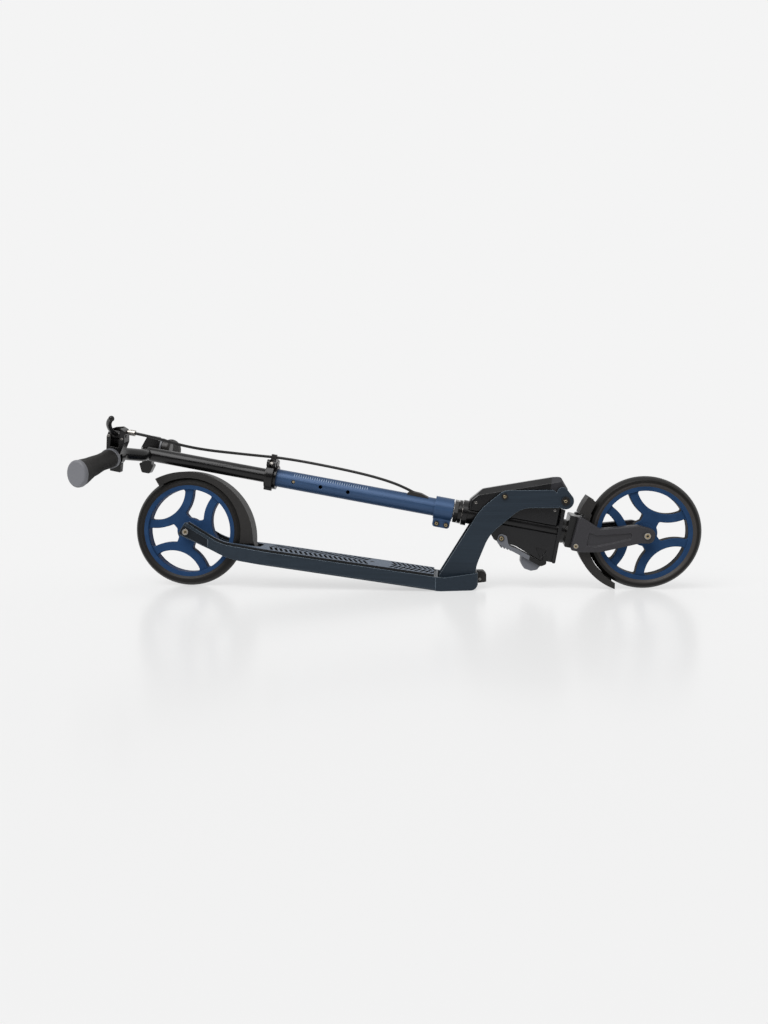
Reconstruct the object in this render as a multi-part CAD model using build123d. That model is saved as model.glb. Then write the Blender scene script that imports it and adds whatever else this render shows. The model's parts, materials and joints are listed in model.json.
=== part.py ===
from build123d import *
import os
from math import cos, radians, sin, tan

# Folding kick scooter, modelled folded: the steering column lies back over the deck.
# Millimetres and degrees. X runs forward from the rear axle, Y across (minus Y is the
# rider's right), Z up from the ground. Pieces of the column are drawn lying along X, with
# s the distance along the column and t the height above its axis, and then tilted.

# Wheels
wheel_d = 200.0
tyre_w = 30.0
rim_r = 83.0            # seat of the tyre
rim_wall = 7.5
hub_r = 23.0
hub_w = 24.0
arc_offset = 96.7       # centre of each C-shaped spoke, from the axle
arc_r = 62.2
spoke_w = 15.0
spoke_t = 18.0
bearing_d = 22.0
bearing_w = 7.0
axle_d = 8.0

# Deck, a bent aluminium extrusion that slopes down to its nose
deck_w = 112.0
deck_slope = 7.92
deck_x, deck_z = 140.3, 67.8        # one point of the rail top
rail_h = 24.2
seam_x = 447.0          # where the nose is welded on
tail_w = 70.0
tail_top = (-1.1, 117.4)
tail_foot = (-15.3, 96.1)
slot_w = 46.0           # slot for the rear wheel
slot_end = 128.0
recess = 1.5            # seat of the deck panel, below the rail tops
panel_rise = 4.0        # the panel stands this far above them
rail_w = 5.0
nose_end = 521.5
nose_wall = 4.5

# Rear fender, also the foot brake
fender_centre = (-4.0, 85.0)
fender_r, fender_w, fender_wall = 122.5, 40.0, 2.0
flare_r = 106.5         # front fender
brake_pivot = (114.0, 60.0)

# Steering column
column_tilt = 10.36
column_z = 225.5        # height of its axis over the rear axle
steer_rest = 5.0        # the bars are turned a little, as in the photo
outer_d, inner_d, steerer_d = 32.0, 25.3, 25.4
outer_bore = 28.2       # leaves a gap round the inner tube for the spring button
head_d, head_bore = 37.0, 31.0
head_s0, head_s1 = 511.0, 672.0
front_s, front_t = 822.0, 23.7      # front axle
height_holes = (195.0, 245.0, 295.0)
lever_pin = (-18.0, 26.0)           # y and t of the cross pin of the quick release
fork_bolt = (706.0, -17.0)
cable_d = 5.0

# Folding joint
pivot_s, pivot_t = 674.2, 53.7
stud_s, stud_t = 569.1, 42.3
latch_s, latch_t = 577.6, -31.6     # pivot of the release lever
pivot_d, stud_d = 10.0, 9.0
plate_in, plate_out = 26.5, 31.5    # faces of the neck plates
shell_w = 41.0
bevel = 10.0            # along the top of the cover

# Handlebar, right half, as points (s, y, t)
bar_d = 22.0
bar_mid = (-80.0, -24.0, -1.0)
bar_bend = (-103.0, -66.0, 1.5)
bar_end = (-108.5, -243.0, -14.0)
grip_len = 126.0
grip_slant = 20.0       # lean of the cut at the outer end
perch_at = 148.0        # brake lever perch, from the end of the bar
bell_at = (-91.5, 45.0) # s and y of the bell on the left half of the bar
bell_t = 11.0           # height of its dome's axis

origin_x = 390.0        # middle of the folded scooter
COLUMN = Pos(0, 0, column_z) * Rot(0, column_tilt, 0)
STEER = COLUMN * Rot(steer_rest, 0, 0)
DECK = Pos(deck_x, 0, deck_z) * Rot(0, deck_slope, 0)
REAR_AXLE = Pos(0, 0, wheel_d / 2)
FRONT_AXLE = STEER * Pos(front_s, 0, front_t)


def on_column(s, t):
    """X and Z of a point of the tilted column."""
    a = radians(column_tilt)
    return s * cos(a) + t * sin(a), column_z - s * sin(a) + t * cos(a)


def outline(points, radii=0):
    """Closed face through the points, with its corners rounded."""
    return make_face(FilletPolyline(*points, radius=radii, close=True))


def side_plate(face, y0, y1):
    """Face drawn in X and Z, made solid from Y = y0 to Y = y1."""
    return extrude(Plane.XZ.offset(-y1) * face, y1 - y0)


def centred(face, width):
    return side_plate(face, -width / 2, width / 2)


def both_sides(part):
    return part + mirror(part, about=Plane.XZ)


def bar_y(x, z, d, y0, y1):
    return side_plate(Pos(x, z) * Circle(d / 2), y0, y1)


def bar_x(d, x0, x1, y=0.0, z=0.0):
    return extrude(Plane.YZ.offset(x0) * (Pos(y, z) * Circle(d / 2)), x1 - x0)


def tube_x(outer, bore, x0, x1):
    return bar_x(outer, x0, x1) - bar_x(bore, x0, x1)


def ring_y(outer, bore, y0, y1, x=0.0, z=0.0):
    return bar_y(x, z, outer, y0, y1) - bar_y(x, z, bore, y0, y1)


def hex_y(x, z, across, y0, y1):
    """Hexagon bolt head or nut on an axis along Y."""
    return side_plate(Pos(x, z) * RegularPolygon(across / 2, 6, major_radius=False), y0, y1)


# Wheels

def make_rim(leaf):
    """Cast rim: three C-shaped spokes open towards the tyre, one of them at the angle 'leaf'."""
    arcs = Circle(hub_r)
    for k in range(3):
        turn = Rot(0, 0, leaf + 120 * k)
        band = Circle(arc_r + spoke_w / 2) - Circle(arc_r - spoke_w / 2)
        arcs += turn * Pos(arc_offset, 0) * band
        arcs += turn * Pos(hub_r, 0) * Rectangle(hub_r, 1.3 * hub_r)
    ring = Circle(rim_r) - Circle(rim_r - rim_wall)
    web = (arcs & Circle(rim_r - rim_wall / 2)) + ring
    web = offset(offset(web, 4), -4) & Circle(rim_r - 1)
    rim = centred(web, spoke_t)
    rim = chamfer(rim.faces().filter_by(Axis.Y).edges().filter_by(lambda e: e.length > 12), 1.2)
    section = Polyline(
        (rim_r - rim_wall, -12.5), (rim_r, -12.5), (rim_r, 12.5), (rim_r - rim_wall, 12.5),
        (rim_r - rim_wall + 2.5, 6), (rim_r - rim_wall + 2.5, -6), close=True)
    rim += revolve(make_face(section), Axis.Y)
    rim += bar_y(0, 0, 34, -hub_w / 2, hub_w / 2)
    rim -= bar_y(0, 0, bearing_d - 3, -hub_w / 2, hub_w / 2)
    rim -= both_sides(bar_y(0, 0, bearing_d, hub_w / 2 - bearing_w, hub_w / 2))
    return rim


def make_tyre():
    """Solid tyre with a bead on the rim seat and a round tread."""
    r, half = wheel_d / 2, tyre_w / 2
    section = Polyline((r - 6, -half + 1.2), (rim_r + 4, -half), (rim_r, -12.5), (rim_r, 12.5),
                       (rim_r + 4, half), (r - 6, half - 1.2))
    tread = ThreePointArc((r - 6, half - 1.2), (r, 0), (r - 6, -half + 1.2))
    return revolve(make_face(section + tread), Axis.Y)


def make_bearings():
    """Two ball bearings and the sleeve that keeps their inner rings apart."""
    inner = hub_w / 2 - bearing_w
    bearings = both_sides(ring_y(bearing_d, axle_d + 0.1, inner, hub_w / 2))
    sleeve = ring_y(12, axle_d + 0.1, -inner + 0.1, inner - 0.1)
    return Compound(list(bearings.solids()) + list(sleeve.solids()))


def make_axle(face):
    """Axle bolt with a round socket head on the right and a nut on the left, clamping at 'face'."""
    bolt = bar_y(0, 0, axle_d, -face, face + 8)
    bolt += bar_y(0, 0, 11, -face - 4.5, -face) - hex_y(0, 0, 5, -face - 5, -face - 2)
    nut = hex_y(0, 0, 13, face, face + 6.5) - bar_y(0, 0, axle_d, face, face + 6.5)
    return Compound(list(bolt.solids()) + list(nut.solids()))


def make_axle_spacers(face):
    return both_sides(ring_y(13, axle_d, hub_w / 2 + 0.1, face))


# Deck

def deck_top(x):
    return deck_z - tan(radians(deck_slope)) * (x - deck_x)


def meet(p, slope_p, q, slope_q):
    """Point where two sloping lines of the side view cross."""
    x = (q[1] - p[1] + slope_p * p[0] - slope_q * q[0]) / (slope_p - slope_q)
    return x, p[1] + slope_p * (x - p[0])


deck_fall = -tan(radians(deck_slope))
bend_top = meet(tail_top, -0.615, (deck_x, deck_z), deck_fall)
bend_foot = meet(tail_foot, -0.463, (deck_x, deck_z - rail_h), deck_fall)


def deck_side():
    seam = deck_top(seam_x)
    points = (tail_top, bend_top, (seam_x, seam), (seam_x, seam - rail_h), bend_foot, tail_foot)
    return outline(points, (2, 100, 0, 0, 150, 2))


def deck_layer(high, low):
    """Side view of a layer that follows the bent top of the deck, between two depths."""
    end = (seam_x, deck_top(seam_x))
    line = (tail_top, bend_top, end)
    points = [(x, z - high) for x, z in line] + [(x, z - low) for x, z in reversed(line)]
    return outline(points, (0, 100, 0, 0, 100, 0))


def deck_plan(inset=0.0, x0=-25.0, x1=seam_x):
    """Plan of the deck: parallel rails, then a taper to the narrow tail."""
    wide, narrow = deck_w / 2 - inset, tail_w / 2 - inset
    half = [(x1, wide), (150, wide), (45, narrow), (x0, narrow)]
    points = half + [(x, -y) for x, y in reversed(half)]
    return outline(points, (0, 120, 60, 0, 0, 60, 120, 0))


def wheel_slot(width, end):
    return outline([(-40, -width / 2), (end, -width / 2), (end, width / 2), (-40, width / 2)], (0, 10, 10, 0))


def upright(face):
    """Plan view face made into a tall solid."""
    return extrude(Plane.XY.offset(-10) * face, 200)


def dropout_side():
    return outline([(-3.5, 112.5), (41, 85.5), (39, 72.5), (-12.5, 96.5)], 1.5)


def make_deck():
    deck = centred(deck_side(), deck_w) & upright(deck_plan())
    deck -= centred(deck_layer(-8, recess), deck_w) & upright(deck_plan(rail_w, x0=3.0, x1=seam_x + 1))
    deck -= upright(wheel_slot(slot_w, slot_end))
    channel_len = seam_x - 160
    for y in (-35, 0, 35):
        deck -= DECK * Pos(channel_len / 2 + 10, y, -20) * Box(channel_len, 31, 24)
    corner = make_face(Polyline((deck_w / 2 + 1, -rail_h + 4), (deck_w / 2 + 1, -rail_h - 1),
                                (deck_w / 2 - 4, -rail_h - 1), close=True))
    deck -= both_sides(DECK * extrude(Plane.YZ * corner, 330))
    deck -= both_sides(side_plate(dropout_side(), tail_w / 2 - 2, tail_w / 2))
    deck -= bar_y(0, wheel_d / 2, axle_d, -tail_w, tail_w)
    return deck - bar_y(*brake_pivot, 6, -30, 30)


def make_grip_panel():
    """Panel between the rails, pierced with slanting windows that form arrowheads."""
    panel = centred(deck_layer(-panel_rise, recess), deck_w)
    panel &= upright(deck_plan(rail_w + 0.3, x0=4.0, x1=seam_x - 3))
    panel -= upright(wheel_slot(slot_w + 4, slot_end + 4))
    windows = Sketch()
    for k in range(20):
        x = 4 + 9 * k
        windows += make_face(Polyline((x, 3), (x + 10, 42), (x + 15, 42), (x + 5, 3), close=True))
    for k in range(9):
        x = 235 + 9 * k
        windows += make_face(Polyline((x, 3), (x - 10, 42), (x - 5, 42), (x + 5, 3), close=True))
    return panel - both_sides(DECK * extrude(Plane.XY.offset(-6) * windows, 14))


def nose_plan(inset):
    half = [(seam_x + (inset and 4), deck_w / 2 - inset), (457, deck_w / 2 - 2 - inset), (505, 42 - inset),
            (nose_end - inset, 37.5 - inset)]
    points = half + [(x, -y) for x, y in reversed(half)]
    corner = 5 - 0.7 * inset
    return outline(points, (0, 20, 40, corner, corner, 40, 20, 0))


def make_nose():
    """Boat-shaped cast tray; its flat bottom carries the folded scooter."""
    side = outline([(seam_x, deck_top(seam_x)), (462, 23.4), (nose_end, 30.5), (nose_end, 0), (456, 0),
                    (seam_x, deck_top(seam_x) - rail_h)], (0, 25, 2, 13, 8, 0))
    nose = centred(side, deck_w) & upright(nose_plan(0))
    return nose - extrude(Plane.XY.offset(nose_wall) * nose_plan(nose_wall), 60)


def neck_side():
    px, pz = on_column(pivot_s, pivot_t)
    plate = outline(
        [(453, nose_wall), (453, 25), (526, 143), (566, 175.5), (652, 176.4), (662, 168), (662, 145.3),
         (597, 145), (541, 98), (519.5, 45), (511.5, nose_wall)],
        (0, 8, 90, 25, 5, 0, 0, 50, 80, 90, 0))
    plate += Pos(px, pz) * Circle(14.5) + Pos(px - 5, pz + 14.5) * Circle(9.5)
    plate += make_face(Polyline((px, pz), (px - 5, pz + 14.5), (px + 2.9, pz + 19.8), (px + 12, pz + 8.1),
                                close=True))
    sx, sz = on_column(stud_s, stud_t)
    return plate - Pos(px, pz) * Circle(pivot_d / 2) - Pos(sx, sz) * Circle(stud_d / 2)


def make_neck_bridge():
    """Curved web that ties the two neck plates together above the nose."""
    web = outline([(496, nose_wall), (510, nose_wall), (517, 45), (527, 68), (520, 71), (509, 47)],
                  (0, 0, 60, 1, 1, 60))
    return centred(web, 2 * plate_in)


def make_lock_studs():
    """One short stud in each neck plate; the release lever hooks on them when unfolded."""
    x, z = on_column(stud_s, stud_t)
    stud = bar_y(x, z, stud_d, 21.2, plate_out) + bar_y(x, z, 11, plate_out, plate_out + 2.5)
    return both_sides(stud - hex_y(x, z, 5, plate_out + 0.5, plate_out + 3))


def make_fold_pivot():
    x, z = on_column(pivot_s, pivot_t)
    bolt = bar_y(x, z, pivot_d, -plate_out, plate_out)
    head = bar_y(x, z, 15, plate_out, plate_out + 3) - hex_y(x, z, 6, plate_out + 0.5, plate_out + 4)
    return bolt + both_sides(head)


def make_catch_block():
    block = outline([(nose_end, 10), (nose_end, 31), (532, 31), (537, 26), (537, 12)], (0, 0, 2, 2, 2))
    return centred(block, 28)


# Rear fender, also the foot brake

def make_rear_fender():
    disk = Pos(*fender_centre) * Circle(fender_r)
    sector = make_face(Polyline((0, 90), (-180, 408), (300, 408), (300, 78), (20, 78), close=True))
    side = (disk & sector) - Pos(0, wheel_d / 2) * Circle(96)
    fender = centred(side, fender_w)
    fender -= centred(Pos(*fender_centre) * Circle(fender_r - fender_wall), fender_w - 2 * fender_wall)
    foot = outline([(104, 100), (104, 51), (123, 51), (123, 68), (118, 82), (116, 100)],
                   (0, 8.5, 8.5, 5, 5, 0))
    fender += centred(foot, 30)
    fender -= centred(Pos(0, wheel_d / 2) * Circle(103), 30)
    return fender - bar_y(*brake_pivot, 6.1, -30, 30)


# Folding head

def make_head_tube():
    """Head tube with a welded gusset that carries the fold pivot."""
    web = outline([(590, 14), (650, 62), (666, 65), (668, 44), (668, 14)], (0, 10, 3, 0, 0))
    head = bar_x(head_d, head_s0, head_s1) + centred(web, 18)
    head += bar_y(pivot_s, pivot_t, 23, -25, 25)
    head -= bar_y(pivot_s, pivot_t, 14, -25, 25)
    return head - bar_x(head_bore, head_s0, head_s1)


def make_fold_bushes():
    bush = bar_y(pivot_s, pivot_t, 14, 4, 25) + bar_y(pivot_s, pivot_t, 20, 25, 26.2)
    return both_sides(bush - bar_y(pivot_s, pivot_t, pivot_d + 0.1, 4, 27))


def make_shell():
    """Left half of the glossy cover over the head tube, with a wide bevel along its top edge; the
    right half is its mirror."""
    points = [(head_s0, 8), (head_s0, 26), (530, 48.5), (648, 91), (660, 93.5), (677, 74), (671.5, 60),
              (671.5, 8)]
    face = outline(points, (0, 6, 12, 8, 5, 4, 0, 0))
    shell = side_plate(face, 0, shell_w / 2)
    rim = shell.faces().sort_by(Axis.Y)[-1].edges().filter_by(lambda e: e.center().Z > 12)
    shell = fillet(rim, 6)
    edge = Plane(origin=(530, shell_w / 2, 48.5), x_dir=(-42.5, 0, 118), z_dir=(118, 0, 42.5))
    wedge = make_face(Polyline((-bevel - 8, -8), (8, bevel + 8), (20, -20), close=True))
    shell -= edge * Pos(0, 0, -60) * extrude(wedge, 260)
    shell -= side_plate(offset(face, -9), 0, shell_w / 2 - 5.5)
    shell -= bar_x(head_d, 500, 690)
    shell -= centred(outline([(505, 0), (505, 14), (668, 14), (668, 0)]), 36)
    shell -= centred(outline([(575, 0), (648, 65), (668.5, 68), (668.5, 0)]), 20)
    return shell - bar_y(pivot_s, pivot_t, 24.6, 0, 40)


def make_lock_housing():
    """Latch casting under the head tube, with the end plate that stops the studs when unfolded."""
    side = outline([(556, -8), (556, -25), (566, -37), (604, -40), (650, -57), (672, -57), (672, -8)],
                   (0, 6, 8, 20, 8, 0, 0))
    window = outline([(638, -34), (661, -38), (652, -54)], 2)
    housing = centred(side, shell_w)
    housing -= both_sides(side_plate(window, shell_w / 2 - 4, shell_w / 2))
    housing -= bar_x(head_d, 500, head_s1)
    housing += centred(outline([(672, -58), (678, -58), (678, 38), (672, 38)], (2.5, 2.5, 1, 1)), 50)
    housing -= bar_x(head_bore, head_s1, 700)
    return housing - bar_y(latch_s, latch_t, 6, -30, 30)


def make_release_lever():
    """Stamped lever: two hooked arms beside the housing, a ridged bridge and a finger tab."""
    arm = outline([(572, -23.5), (586, -25), (592, -41), (655, -59), (656.2, -47.5), (661.5, -46.5),
                   (663, -62), (655, -67.5), (606, -52), (571, -41)],
                  (6, 6, 10, 2, 1.5, 1.5, 3, 6, 10, 6))
    lever = both_sides(side_plate(arm, 21.0, 24.5))
    bridge = outline([(575, -41), (606, -44), (652, -60.2), (653, -64), (606, -49), (577, -45)])
    for k in range(5):
        bridge += Pos(581 + 5.5 * k, -46.2 - 0.72 * k) * Rectangle(2.4, 3.4)
    lever += centred(bridge, 45)
    tab = outline([(618, -50.3), (652, -62), (655, -66), (650, -75), (640, -79), (627, -77), (620, -68)],
                  (0, 0, 2, 5, 6, 6, 10))
    lever += centred(tab, 34)
    return lever - bar_y(latch_s, latch_t, 6.1, -30, 30)


def make_latch_pivot():
    pin = bar_y(latch_s, latch_t, 6, -24.8, 24.8)
    return pin + both_sides(bar_y(latch_s, latch_t, 10, 24.7, 26.2))


def make_headset_cups():
    upper = tube_x(45, 35, 502, 509.5) + tube_x(45, 28, 509.5, head_s0) + tube_x(head_bore, 28, head_s0, 519)
    lower = tube_x(head_bore, 28, 662, 678) + tube_x(43, 28, 678, 679.5) + tube_x(43, 35, 679.5, 685)
    return Compound([upper.solid(), lower.solid()])


def make_headset_bearings():
    upper = tube_x(35, steerer_d + 0.1, 503, 509.5)
    lower = tube_x(35, steerer_d + 0.1, 679.5, 685)
    return Compound([upper.solid(), lower.solid()])


# Steering: steerer, column tubes and fork

def make_headset_nut():
    lock = extrude(Plane.YZ.offset(487) * RegularPolygon(19, 6, major_radius=False), 7)
    ring = bar_x(42, 495, 501) + bar_x(36, 494, 495)
    return lock + ring - bar_x(steerer_d, 480, 505)


def make_outer_tube():
    """Blue tube with the row of height holes and the slot where the brake cable goes in."""
    tube = tube_x(outer_d, outer_bore, 148, 436) + tube_x(outer_d, steerer_d, 436, 486)
    for s in height_holes:
        tube -= bar_y(s, 0, 7, -20, 0)
    slot = Plane.XY * Pos(418, 0) * SlotOverall(30, 8)
    return tube - extrude(slot, 30)


def make_lower_clamp():
    """Split clamp that fixes the outer tube on the steerer."""
    ears = outline([(453, -33), (484, -33), (484, 0), (453, 0)], (5, 5, 0, 0))
    clamp = bar_x(41, 452, 485) + centred(ears, 22)
    clamp -= centred(outline([(450, -40), (490, -40), (490, 0), (450, 0)]), 4)
    for s in (460.5, 477.5):
        clamp -= bar_y(s, -26.5, 5, -20, 20)
    return clamp - bar_x(outer_d, 450, 490)


def make_lower_clamp_bolts():
    bolts = []
    for s in (460.5, 477.5):
        bolt = bar_y(s, -26.5, 5, -11, 13) + bar_y(s, -26.5, 9, -15, -11)
        bolts.append((bolt - hex_y(s, -26.5, 4, -16, -13)).solid())
        bolts.append((hex_y(s, -26.5, 8, 11, 15) - bar_y(s, -26.5, 5, 11, 13)).solid())
    return Compound(bolts)


def make_cable_port():
    """Moulded grommet on the tube that leads the cable into the slot."""
    side = outline([(398, 10), (400, 17), (406, 21), (424, 20), (438, 15.5), (440, 10)], (0, 1, 3, 8, 1, 0))
    port = centred(side, 16) - bar_x(outer_d, 390, 450)
    return port - CABLE_HOLE


def make_collar_clamp():
    """Split collar with two ears on top, drawn together by the quick release."""
    ears = outline([(144, 0), (161, 0), (161, 29.5), (157, 32.5), (144, 32.5)], (0, 0, 3, 3, 5))
    collar = bar_x(43, 142.5, 163) + centred(ears, 22)
    collar -= centred(outline([(130, 0), (170, 0), (170, 40), (130, 40)]), 3)
    collar -= bar_x(outer_d, 148, 170) + bar_x(inner_d + 0.1, 130, 148)
    return collar - bar_y(152, 26, 6, -30, 30)


def make_skewer():
    """Quick-release rod with its nut, and the cross pin that the cam lever turns on."""
    rod = bar_y(152, 26, 6, lever_pin[0], 13) + bar_y(152, 26, 11, 11, 17)
    rod += bar_x(5, 144.5, 159.5, *lever_pin)
    return rod - hex_y(152, 26, 5, 14.5, 18)


def make_collar_lever():
    """Cam lever of the quick release, wrapped round the near side of the collar."""
    band = Circle(28.5) - Circle(23.5)
    sector = make_face(Polyline((0, 0), (-60, 80), (-60, -62), close=True))
    strap = extrude(Plane.YZ.offset(146) * (band & sector), 12)
    lever = bar_x(13, 144, 160, *lever_pin) + strap + bar_x(8.8, 145, 159, -18.6, -18.2)
    lever -= bar_x(17, 148.8, 155.2, *lever_pin) + bar_x(5.1, 140, 165, *lever_pin)
    return lever - bar_x(46, 140, 170)


def make_cable_clip():
    block = Pos(152, -3.5, 36.75) * Box(9, 9, 8.5)
    return block - CABLE_HOLE


def arm_side():
    return outline(
        [(698.5, -22), (701.5, 36), (718, 30), (741, 20), (804, 38.5), (front_s + 14, front_t + 12),
         (front_s + 14, front_t - 12), (814, 8.2), (749, -20.5), (718, -26.5), (700.5, -26)],
        (2, 4, 12, 12, 10, 11, 11, 10, 20, 10, 2))


def make_fork_arm():
    """Left fork arm: a deep side plate with a sunk elbow panel on its outer face."""
    arm = side_plate(arm_side(), 22.5, 36)
    arm = fillet(arm.faces().sort_by(Axis.Y)[-1].edges(), 2.5)
    panel = outline([(724, 11), (738, 8), (797, 24), (797, 12), (742, -12), (724, -14)], (3, 12, 3, 3, 12, 3))
    arm -= extrude(Plane.XZ.offset(-36.01) * panel, 2.6, taper=30)
    arm -= bar_y(front_s, front_t, axle_d, 0, 40)
    return arm - bar_y(*fork_bolt, 6, 0, 40)


def make_fork_crown():
    """Block between the arms, bored for the steerer and hollowed for the brake shoe."""
    side = outline([(688, -24), (688, 33), (722, 30), (722, -24)], (3, 3, 0, 0))
    crown = centred(side, 45) - centred(Pos(front_s, front_t) * Circle(108.5), 46)
    crown += bar_x(40, 686, 690)
    crown -= bar_x(steerer_d, 680, 706)
    crown -= Pos(714, 0, 16) * Box(16, 19, 17)
    crown -= bar_x(7, 700, 720)
    return crown - bar_y(*fork_bolt, 6, -40, 40)


def make_fork_bolt():
    bolt = bar_y(*fork_bolt, 6, -36, 36) + both_sides(bar_y(*fork_bolt, 8.5, 36, 38))
    return bolt - both_sides(hex_y(*fork_bolt, 4, 36.8, 39))


def make_front_fender():
    """Channel-shaped fender held in the crown. Its short lip above the crown and its long tail
    below stand further off the tyre, each on a flange, and a window lets the brake shoe through."""
    axle = Pos(front_s, front_t)
    flare_at = Pos(front_s - 14, front_t - 1)
    sector = make_face(Polyline((front_s, front_t), (712, 70), (640, 70), (640, -200), (812, -200),
                                (788, -66), close=True))
    crown_gap = Pos(700, 5.5) * Rectangle(60, 64)
    seat = Pos(700, 5.5) * Rectangle(60, 69)
    flare = flare_at * Circle(flare_r) - axle * Circle(101) - crown_gap
    band = axle * (Circle(108.5) - Circle(99)) & seat
    fender = centred((band + flare) & sector, fender_w)
    hollow = flare_at * Circle(flare_r - fender_wall) - seat
    hollow += axle * Circle(108.5 - fender_wall)
    fender -= centred(hollow, fender_w - 2 * fender_wall)
    return fender - Pos(714, 0, 16) * Box(20, 19, 17)


def make_brake_shoe():
    side = outline([(707, 8), (716, 8), (717.6, 10), (717.6, 22), (716, 24), (707, 24)])
    return centred(side, 18.6)


# T-bar

def bar_line():
    right = [bar_end, bar_bend, bar_mid]
    left = [(s, -y, t) for s, y, t in reversed(right)]
    return FilletPolyline(*right, *left, radius=(40, 26, 26, 40))


def bar_solid(d):
    line = bar_line()
    return sweep(Plane(origin=line @ 0, z_dir=line % 0) * Circle(d / 2), path=line)


def grip_plane(distance):
    """Plane across the right half of the bar, measured back from its end; x is s, y is t."""
    end, bend = Vector(*bar_end), Vector(*bar_bend)
    along = (end - bend).normalized()
    return Plane(origin=end - along * distance, x_dir=(1, 0, 0), z_dir=along)


def grip_end():
    """Slanted plane of the grip's outer end."""
    return grip_plane(8) * Rot(0, -grip_slant, 0)


def make_grip():
    """Rubber grip that widens to a palm rest and is cut at a slant at its outer end."""
    sections = [grip_plane(grip_len - 4) * Circle(15.5), grip_plane(88) * Circle(14.5),
                grip_plane(50) * Pos(0, -1) * Ellipse(16, 16.5), grip_end() * Pos(0, -4) * Ellipse(20, 21.5)]
    return loft(sections) - BAR


def make_grip_cap():
    cap = extrude(grip_end() * Pos(0, -4) * Ellipse(20.3, 22), 7)
    return fillet(cap.faces().sort_by(Axis.Y)[0].edges(), 3.5)


def make_grip_ring():
    ring = extrude(grip_plane(grip_len + 4) * Circle(17), 8)
    return ring - BAR


def make_perch():
    """Brake lever perch: split ring on the bar, a foot with its screw, and an arm for the blade."""
    ring = extrude(grip_plane(perch_at + 7) * Circle(16), 14)
    foot = extrude(grip_plane(perch_at + 6) * (Pos(4, -18) * Rectangle(18, 14)), 12)
    arm = outline([(-10, 8), (14, 8), (20, 30), (18, 50), (8, 54), (-8, 50), (-12, 36)],
                  (0, 0, 8, 5, 5, 8, 6))
    body = extrude(grip_plane(perch_at + 5) * arm, 22)
    body -= extrude(grip_plane(perch_at + 1) * (Pos(3, 40) * Rectangle(15.4, 40)), 30)
    return ring + foot + body + blade_pin(5) - BAR - CABLE_HOLE


def blade_pivot(s):
    """Point of the blade's pivot axis, s from the middle of the perch."""
    start = grip_plane(perch_at - 9).from_local_coords((0, 40, 0))
    return start + Vector(s, 0, 0)


def blade_pin(d):
    return Plane(origin=blade_pivot(-12), z_dir=(1, 0, 0)) * extrude(Circle(d / 2), 32)


def make_blade():
    """Two-finger brake blade that bows away from the grip and ends in a ball."""
    hub = blade_pivot(3)
    path = Spline(*[hub + Vector(*p) for p in ((0, 4, 0), (-0.5, -15, 4), (0, -41, 16), (11, -66, 33))])
    blade = sweep(Plane(origin=path @ 0, x_dir=(1, 0, 0), z_dir=path % 0) * Ellipse(4.5, 3.6), path=path)
    blade += Pos(*(path @ 1)) * Sphere(4.8)
    blade += Plane(origin=hub, z_dir=(1, 0, 0)) * extrude(Circle(7), 6, both=True)
    return blade - blade_pin(5.4)


def make_barrel():
    plane = grip_plane(perch_at - 3)
    start = plane.from_local_coords((19, 47, 0))
    barrel = Circle(5)
    body = extrude(Circle(3.5), 12) + Pos(0, 0, 4) * extrude(barrel, 9)
    return Plane(origin=start, z_dir=(1, 0, 0)) * body - CABLE_HOLE


def make_inner_tube():
    """Black telescopic tube, coped to fit round the handlebar."""
    tube = tube_x(inner_d, 21, -80, 236) + tube_x(outer_bore - 0.3, 21, 226, 236) - bar_solid(bar_d)
    tube = tube.solids().sort_by(SortBy.VOLUME)[-1]
    return tube - bar_y(height_holes[0], 0, 6.2, -20, 0)


def make_height_button():
    button = bar_y(height_holes[0], 0, 6, -13.7, -4.5) + bar_y(height_holes[0], 0, 9, -7.2, -4.5)
    return fillet(button.edges().filter_by(GeomType.CIRCLE).sort_by(Axis.Y)[0], 1)


def make_bell_base():
    """Bell clamp round the bar: a tapered foot under it, a body over it and the stub axle of the dome."""
    mid, bend = Vector(*bar_mid), Vector(*bar_bend)
    along = Vector(bend.X - mid.X, mid.Y - bend.Y, 0).normalized()
    ring = extrude(Plane(origin=(*bell_at, 0.5), z_dir=along) * Circle(15), 7, both=True)
    foot = outline([(-15, -24), (14, -24), (8, -42), (-7, -42)], (3, 3, 4, 4))
    neck = outline([(-9, -24), (9, -24), (9, 0), (-9, 0)])
    body = outline([(-12, 6), (-4, 27), (13, 27), (20, 22), (20, 6)], (0, 4, 5, 4, 2))
    base = side_plate(foot + neck, -8, 8) + side_plate(body, -13, 13)
    base += bar_x(8, 19, 38, 0, bell_t)
    return ring + Pos(*bell_at, 0) * base - BAR


def make_bell_dome():
    """Drawn steel cup that turns on the stub axle, with a flat ring at its open end."""
    cup = bar_x(32, 21.5, 25, 0, bell_t) + bar_x(29, 25, 40, 0, bell_t)
    cup = fillet(cup.edges().filter_by(GeomType.CIRCLE).sort_by(Axis.X)[-1], 5)
    cup -= bar_x(26, 21.5, 38.2, 0, bell_t) - bar_x(12, 31, 38.2, 0, bell_t)
    return Pos(*bell_at, 0) * (cup - bar_x(8.3, 20, 38.15, 0, bell_t))


def cable_line():
    """Brake cable from the barrel adjuster, through the clip, into the port and down the steerer."""
    start = grip_plane(perch_at - 3).from_local_coords((21, 47, 0))
    path = [(-45, start.Y, start.Z), (15, -52, 31), (105, -11, 33), (175, 0, 38), (285, 0, 37),
            (355, 0, 32.5), (402, 0, 23), (434, 0, 11)]
    return FilletPolyline(start, *path, radius=(40, 100, 120, 150, 150, 100, 60))


def cable_solid(d):
    line = cable_line()
    return sweep(Plane(origin=line @ 0, z_dir=line % 0) * Circle(d / 2), path=line)


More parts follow.
